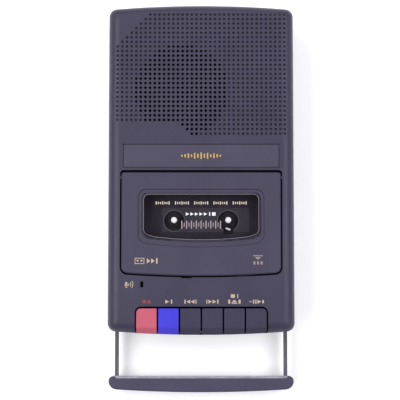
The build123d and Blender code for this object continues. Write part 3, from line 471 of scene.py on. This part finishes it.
def dress_cad_nodes():
    """Give every CAD node its material: its slot's own, or one that is its alone."""
    slot_of = {row["node"]: row["material_slot"] for row in frame["record"]["subparts"]}
    for name, piece in frame["nodes"].items():
        piece.data.materials.clear()
        piece.data.materials.append(NODE_MATERIALS.get(name, MATERIALS[slot_of[name]]))


# ---------------------------------------------------------------- outlines and meshes

def arc_points(x, y, radius, start, end, steps):
    """Points along an arc, in millimetres and degrees."""
    turns = [math.radians(start + (end - start) * step / steps) for step in range(steps + 1)]
    return [(x + radius * math.cos(turn), y + radius * math.sin(turn)) for turn in turns]


def arc_band(x, y, radius, start, end, width):
    """One bent stroke."""
    outer = arc_points(x, y, radius, start, end, 14)
    inner = arc_points(x, y, radius - width, start, end, 14)
    return outer + inner[::-1]


def disc(x, y, radius, steps=28):
    return arc_points(x, y, radius, 0, 360 - 360 / steps, steps - 1)


def bar(x, y, width, height):
    """A rectangle about its centre."""
    return [(x - width / 2, y - height / 2), (x + width / 2, y - height / 2),
            (x + width / 2, y + height / 2), (x - width / 2, y + height / 2)]


def arrow(x, y, width, height, way=1):
    """A triangle pointing to +X, or to -X where way is -1."""
    return [(x - way * width / 2, y - height / 2), (x + way * width / 2, y),
            (x - way * width / 2, y + height / 2)][::way]


def arrow_down(x, y, width, height):
    return [(x - width / 2, y + height / 2), (x, y - height / 2), (x + width / 2, y + height / 2)]


def bowed_outline(half, low, high, crown, low_radius, high_radius):
    """Outline of the window's trim: straight top, bowed bottom, round corners."""
    corner_steps, bow_steps = 8, 24
    short = 5       # degrees by which a lower corner stops short of the bow
    low_x, low_y = half - low_radius, low + crown + low_radius
    high_x, high_y = half - high_radius, high - high_radius
    points = []
    points += arc_points(high_x, high_y, high_radius, 0, 90, corner_steps)
    points += arc_points(-high_x, high_y, high_radius, 90, 180, corner_steps)
    points += arc_points(-low_x, low_y, low_radius, 180, 270 - short, corner_steps)
    for step in range(1, bow_steps):
        x = -low_x + 2 * low_x * step / bow_steps
        points.append((x, low + crown * (x / half) ** 2))
    points += arc_points(low_x, low_y, low_radius, 270 + short, 360, corner_steps)
    return points


def raised(polygons, z, thickness):
    """A mesh of flat plates standing on z, in millimetres, from closed outlines."""
    mesh = bmesh.new()
    for polygon in polygons:
        base = [mesh.verts.new((x * MM, y * MM, z * MM)) for x, y in polygon]
        top = [mesh.verts.new((x * MM, y * MM, (z + thickness) * MM)) for x, y in polygon]
        mesh.faces.new(base[::-1])
        mesh.faces.new(top)
        for index, corner in enumerate(base):
            after = (index + 1) % len(base)
            mesh.faces.new((corner, base[after], top[after], top[index]))
    return mesh


def wrap(mesh, rows):
    """Faces between closed rows of vertices, each row with the next and the last with the first."""
    for first, second in zip(rows, rows[1:] + rows[:1]):
        for index in range(len(first)):
            after = (index + 1) % len(first)
            mesh.faces.new((first[index], first[after], second[after], second[index]))


def ring_band(outer, inner, z, thickness):
    """A mesh of one flat band between two outlines with the same number of points."""
    mesh = bmesh.new()
    rows = []
    for outline, height in ((outer, z), (outer, z + thickness), (inner, z + thickness), (inner, z)):
        rows.append([mesh.verts.new((x * MM, y * MM, height * MM)) for x, y in outline])
    wrap(mesh, rows)
    return mesh


def place(mesh, name, material, body):
    """Turn a bmesh into a piece that rides on a body."""
    bmesh.ops.recalc_face_normals(mesh, faces=mesh.faces)
    data = bpy.data.meshes.new(name)
    mesh.to_mesh(data)
    mesh.free()
    data.materials.append(material)
    piece = bpy.data.objects.new(name, data)
    bpy.context.scene.collection.objects.link(piece)
    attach(piece, body)


def print_mark(name, outlines, z, material, body="case"):
    """Print a mark on a level face."""
    place(raised(outlines, z, INK), name, material, body)


def print_side(name, outlines):
    """Print a mark on the rear case's drafted right side. Its outlines hold (y, z) points."""
    mesh = bmesh.new()
    for outline in outlines:
        rows = []
        for out in (-EMBED, INK):
            row = []
            for y, z in outline:
                x = side_x - (parting_z - z) * math.tan(SIDE_DRAFT) + out
                row.append(mesh.verts.new((x * MM, y * MM, z * MM)))
            rows.append(row)
        base, top = rows
        mesh.faces.new(base)
        mesh.faces.new(top[::-1])
        for index, corner in enumerate(base):
            after = (index + 1) % len(base)
            mesh.faces.new((corner, top[index], top[after], base[after]))
    place(mesh, name, CREAM_INK, "case")


# ---------------------------------------------------------------- marks on case and door

def symbol_bar(x, y, width=1.0):
    return bar(x, y, width, SYMBOL)


def symbol_arrow(x, y, way=1):
    return arrow(x, y, 2.9, SYMBOL, way)


def key_symbols(x, y, name):
    """Generic transport symbols, each a list of closed outlines."""
    if name == "record":
        return [disc(x - 1.6, y, SYMBOL / 2), bar(x + 2.0, y, 2.2, SYMBOL * 0.8)]
    if name == "play":
        return [symbol_arrow(x - 1.0, y), symbol_bar(x + 2.4, y)]
    if name == "rewind":
        return [symbol_bar(x - 4.2, y), symbol_arrow(x - 1.6, y, -1),
                symbol_arrow(x + 1.7, y, -1), symbol_bar(x + 4.3, y, THIN)]
    if name == "fast_forward":
        return [symbol_bar(x - 4.3, y, THIN), symbol_arrow(x - 1.7, y),
                symbol_arrow(x + 1.6, y), symbol_bar(x + 4.2, y)]
    if name == "stop_eject":
        wedge = [(x - 2.2, y - 0.4), (x + 2.2, y - 0.4), (x, y + SYMBOL / 2)]
        above = y + 4.3
        return [wedge, bar(x, y - 1.2, 4.4, 0.8),
                symbol_bar(x - 4.0, y, 1.6), symbol_bar(x + 4.0, y, 1.6),
                bar(x - 1.2, above, SYMBOL, SYMBOL * 0.9), symbol_bar(x + 2.6, above, THIN)]
    return [bar(x - 4.6, y, 1.5, THIN), symbol_bar(x - 2.2, y), symbol_bar(x - 0.4, y),
            symbol_arrow(x + 2.3, y), bar(x + 5.2, y, 1.3, SYMBOL * 0.8)]


def mark_keys():
    """A printed symbol on the case above each key."""
    for name in KEYS:
        low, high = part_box(f"{name}_key_cap")
        printed = key_symbols((low.x + high.x) / 2 / MM, high.y / MM + SYMBOL_RISE, name)
        print_mark(f"{name}_symbol", printed, case_top, RED_INK if name == "record" else CREAM_INK)


def microphone_outlines(x, y):
    """Capsule, cradle and stand, 3 wide and 4.4 high."""
    capsule = arc_points(x, y + 1.2, 0.8, 0, 180, 10) + arc_points(x, y - 0.1, 0.8, 180, 360, 10)
    cradle = arc_band(x, y, 1.5, 180, 360, 0.4)
    return [capsule, cradle, bar(x, y - 1.75, 0.45, 0.6), bar(x, y - 2.2, 2.0, 0.4)]


def mark_microphone():
    """Microphone pictogram with three sound waves, left of its slot."""
    slot_centre = middle("microphone_capsule") / MM
    x, y = slot_centre.x - MARK_FROM_SLOT, slot_centre.y
    first, pitch, spread = 1.4, 1.6, 38
    waves = []
    for step in range(3):
        waves.append(arc_band(x - 2.4, y, first + pitch * step, -spread, spread, 0.55))
    print_mark("microphone_mark", microphone_outlines(x - 3.2, y) + waves, case_top, CREAM_INK)


def mark_panel():
    """Gold ornament on the name panel: a row of bars like a level display."""
    centre = middle("name_panel") / MM
    heights = [1.4, 2.6, 3.8, 2.2, 4.6, 3.2, 5.0, 3.2, 4.6, 2.2, 3.8, 2.6, 1.4]
    pitch, width = 2.5, 1.1
    bars = []
    for index, height in enumerate(heights):
        x = centre.x + (index - len(heights) // 2) * pitch
        bars.append(bar(x, centre.y, width, height))
    place(raised(bars, panel_top, FOIL), "panel_ornament", GOLD_FOIL, "case")


def mark_door():
    """A cassette pictogram at the lower left of the door and a press mark at the lower right."""
    low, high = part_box("cassette_door")
    y = low.y / MM + DOOR_MARK_Y
    left = low.x / MM + CASSETTE_MARK_X
    width, height, line = 7.4, 4.7, 0.5
    inside = bar(left, y, width - 2 * line, height - 2 * line)
    shell = ring_band(bar(left, y, width, height), inside, face_z, INK)
    place(shell, "cassette_mark_frame", CREAM_INK, "door")
    reels = [disc(left + side * 1.5, y + 0.2, 0.8, 16) for side in (-1, 1)]
    steps = [arrow(left + 7.0 + 3.4 * step, y, 2.7, 4.0) for step in range(2)]
    stop = bar(left + 13.4, y, 1.2, 4.4)
    print_mark("cassette_mark_reels", reels + steps + [stop], face_z, CREAM_INK, "door")
    right = high.x / MM - PRESS_MARK_X
    press = [bar(right, y + 4.0, 7.4, 0.8), arrow_down(right, y + 1.9, 5.2, 2.2)]
    press += [bar(right + side * 2.8, y - 1.6, 1.6, 2.4) for side in (-1, 0, 1)]
    print_mark("press_mark", press, face_z, FADED_INK, "door")


def mark_side():
    """Pictograms beside the earphone and microphone jacks, the volume wheel and the mains inlet."""
    low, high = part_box("audio_jacks")
    earphone_y = low.y / MM + JACK_INSET
    microphone_y = high.y / MM - JACK_INSET
    earphone = [arc_band(earphone_y, JACK_MARK_Z - 0.4, 1.7, 0, 180, 0.45)]
    earphone += [bar(earphone_y + side * 1.55, JACK_MARK_Z - 1.1, 0.9, 1.6) for side in (-1, 1)]
    print_side("earphone_mark", earphone)
    print_side("microphone_jack_mark", microphone_outlines(microphone_y, JACK_MARK_Z))
    wheel_low, wheel_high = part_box("volume_wheel")
    start, end = wheel_low.y / MM + 2, wheel_high.y / MM - 2
    strokes = 8
    wedge = []
    for step in range(strokes):
        y = start + (end - start) * step / (strokes - 1)
        tall = 0.8 + 0.36 * step
        wedge.append(bar(y, VOLUME_MARK_Z + tall / 2, THIN, tall))
    print_side("volume_mark", wedge)
    # one wave for the mains, 6 long
    inlet = middle("ac_inlet") / MM
    wave_steps, wave_length, wave_height, line = 16, 6, 0.7, 0.45
    upper = []
    for step in range(wave_steps + 1):
        y = inlet.y - wave_length / 2 + step * wave_length / wave_steps
        upper.append((y, MAINS_MARK_Z + wave_height * math.sin(math.tau * step / wave_steps)))
    lower = [(y, z - line) for y, z in upper]
    print_side("mains_mark", [upper + lower[::-1]])


def mark_battery_cover():
    """A moulded arrow on the underside of the battery cover, pointing the way it comes off."""
    low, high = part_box("battery_door")
    y = high.y / MM - ARROW_Y
    outline = [(-7, y - 3), (7, y - 3), (0, y + 6)]
    plate = raised([outline], low.z / MM - ARROW_RELIEF, ARROW_RELIEF + EMBED)
    place(plate, "battery_cover_arrow", MATERIALS["case_plastic"], "battery_cover")


# ---------------------------------------------------------------- the window and its surroundings

def trim_window():
    """What is printed on the window: silver line, ruled legend, auto-stop symbol and tape scale."""
    low, high = lens_low.y / MM, lens_high.y / MM
    half = lens_high.x / MM
    outer = bowed_outline(half - 1.7, low + 1.8, high - 1.15, 3.45, 5.2, 4.4)
    inner = bowed_outline(half - 2.05, low + 2.15, high - 1.45, 3.4, 4.85, 4.1)
    line = ring_band(outer, inner, lens_top, INK)
    place(line, "window_silver_line", SILVER_FOIL, "door")
    # upper legend: five groups of fine strokes, like a tape-length ruler
    ruler = []
    group_width, gap, per_group = 11.7, 3.3, 7
    for group in range(-2, 3):
        start = group * (group_width + gap) - group_width / 2
        for index in range(per_group):
            tall = 2.5 if index in (0, 3, 6) else 1.7
            x = start + (index + 0.5) * group_width / per_group
            ruler.append(bar(x, high - RULER_Y, 0.8, tall))
    print_mark("window_ruler", ruler, lens_top, LEGEND_INK, "door")
    # lower legend: the tape runs on, and stops at its end
    y = high - AUTO_STOP_Y
    symbol = [arrow(-10.6 + 3.5 * step, y, 2.6, 2.6) for step in range(5)]
    symbol += [bar(6.6, y, 0.8, 2.8), bar(9.8, y, 2.8, 2.6)]
    print_mark("auto_stop_symbol", symbol, lens_top, WHITE_INK, "door")
    scale = []
    pitch = 1.88
    for index in range(-8, 9):
        width, tall = (0.8, 6.2) if index % 2 == 0 else (0.6, 3.2)
        scale.append(bar(index * pitch, high - SCALE_Y, width, tall))
    print_mark("window_scale", scale, lens_top, TICK_INK, "door")


def cap_stop_finger():
    """White slanted tip of the automatic-stop finger, seen through the window."""
    _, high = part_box("auto_stop_lever")
    spindle = middle("takeup_reel") / MM
    x, y, turn = spindle.x, spindle.y - 6.4, math.radians(-23)
    reach, radius, thickness = 1.35, 0.7, 0.5
    straight = arc_points(reach, 0, radius, -90, 90, 8) + arc_points(-reach, 0, radius, 90, 270, 8)
    outline = []
    for across, along in straight:
        outline.append((x + across * math.cos(turn) - along * math.sin(turn),
                        y + across * math.sin(turn) + along * math.cos(turn)))
    tip = raised([outline], high.z / MM - EMBED, thickness)
    place(tip, "stop_finger_tip", MATERIALS["white_plastic"], "stop_lever")


def trim_jacks():
    """Nickel rings on the two jacks."""
    low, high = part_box("audio_jacks")
    centre = middle("audio_jacks")
    spread = (high.y - low.y) / MM / 2 - JACK_INSET
    turns = [math.tau * step / 36 for step in range(36)]
    for side, name in ((-1, "earphone"), (1, "microphone")):
        jack_y = centre.y / MM + side * spread
        mesh = bmesh.new()
        rows = []
        for radius, out in JACK_RING_PROFILE:
            row = []
            for turn in turns:
                y, z = jack_y + radius * math.cos(turn), JACK_Z + radius * math.sin(turn)
                row.append(mesh.verts.new(((high.x / MM + out) * MM, y * MM, z * MM)))
            rows.append(row)
        wrap(mesh, rows)
        place(mesh, f"{name}_jack_ring", MATERIALS["head_metal"], "case")


# ---------------------------------------------------------------- stage

def add_floor():
    """White floor that glows a little, so that it stays white round the object."""
    floor = bpy.data.meshes.new("floor")
    mesh = bmesh.new()
    bmesh.ops.create_grid(mesh, x_segments=2, y_segments=2, size=FLOOR_SIZE)
    mesh.to_mesh(floor)
    mesh.free()
    m = Nodes("floor_white")
    m.colour(m.blend(m.ramp(m.noise(6, detail=2)), (0.93, 0.925, 0.95), (0.95, 0.945, 0.965)))
    m.constant("Roughness", 0.9)
    m.constant("Specular IOR Level", 0.1)
    m.constant("Emission Color", (0.97, 0.97, 1.0, 1))
    m.constant("Emission Strength", FLOOR_GLOW)
    floor.materials.append(m.material)
    piece = bpy.data.objects.new("floor", floor)
    bpy.context.scene.collection.objects.link(piece)


def add_area_light(name, position, size, power):
    """A rectangular lamp turned to the object."""
    light = bpy.data.lights.new(name, "AREA")
    light.shape = "RECTANGLE"
    light.size, light.size_y = size
    light.energy = power
    lamp = bpy.data.objects.new(name, light)
    lamp.location = position
    lamp.rotation_mode = "QUATERNION"
    aim = Vector(LIGHT_TARGET) - Vector(position)
    lamp.rotation_quaternion = aim.to_track_quat("-Z", "Y")
    bpy.context.scene.collection.objects.link(lamp)


def add_lights():
    """Dim surroundings, a softbox on each side and a strip beyond the speaker end."""
    world = bpy.data.worlds.new("studio")
    world.use_nodes = True
    background = world.node_tree.nodes["Background"]
    background.inputs["Color"].default_value = (0.96, 0.96, 1.0, 1)
    background.inputs["Strength"].default_value = WORLD_LIGHT
    bpy.context.scene.world = world
    for side, name, power in ((-1, "left_softbox", LEFT_POWER), (1, "right_softbox", RIGHT_POWER)):
        add_area_light(name, (side * SOFTBOX_X, SOFTBOX_Y, SOFTBOX_Z), SOFTBOX_SIZE, power)
    add_area_light("far_strip", STRIP_PLACE, STRIP_SIZE, STRIP_POWER)


def add_camera():
    """Nearly straight above, tilted towards the speaker end."""
    camera = bpy.data.cameras.new("camera")
    camera.lens = CAMERA_LENS
    camera.sensor_width = CAMERA_SENSOR
    holder = bpy.data.objects.new("camera", camera)
    holder.location = (CAMERA_X, key_end * MM + CAMERA_Y_FROM_KEY_END, face_z * MM + CAMERA_HEIGHT)
    holder.rotation_euler = (CAMERA_TILT, 0, 0)
    bpy.context.scene.collection.objects.link(holder)
    bpy.context.scene.camera = holder


dress_cad_nodes()
mark_keys()
mark_microphone()
mark_panel()
mark_door()
mark_side()
mark_battery_cover()
trim_window()
cap_stop_finger()
trim_jacks()
add_floor()
add_lights()
add_camera()
bpy.context.scene.view_settings.view_transform = "Standard"
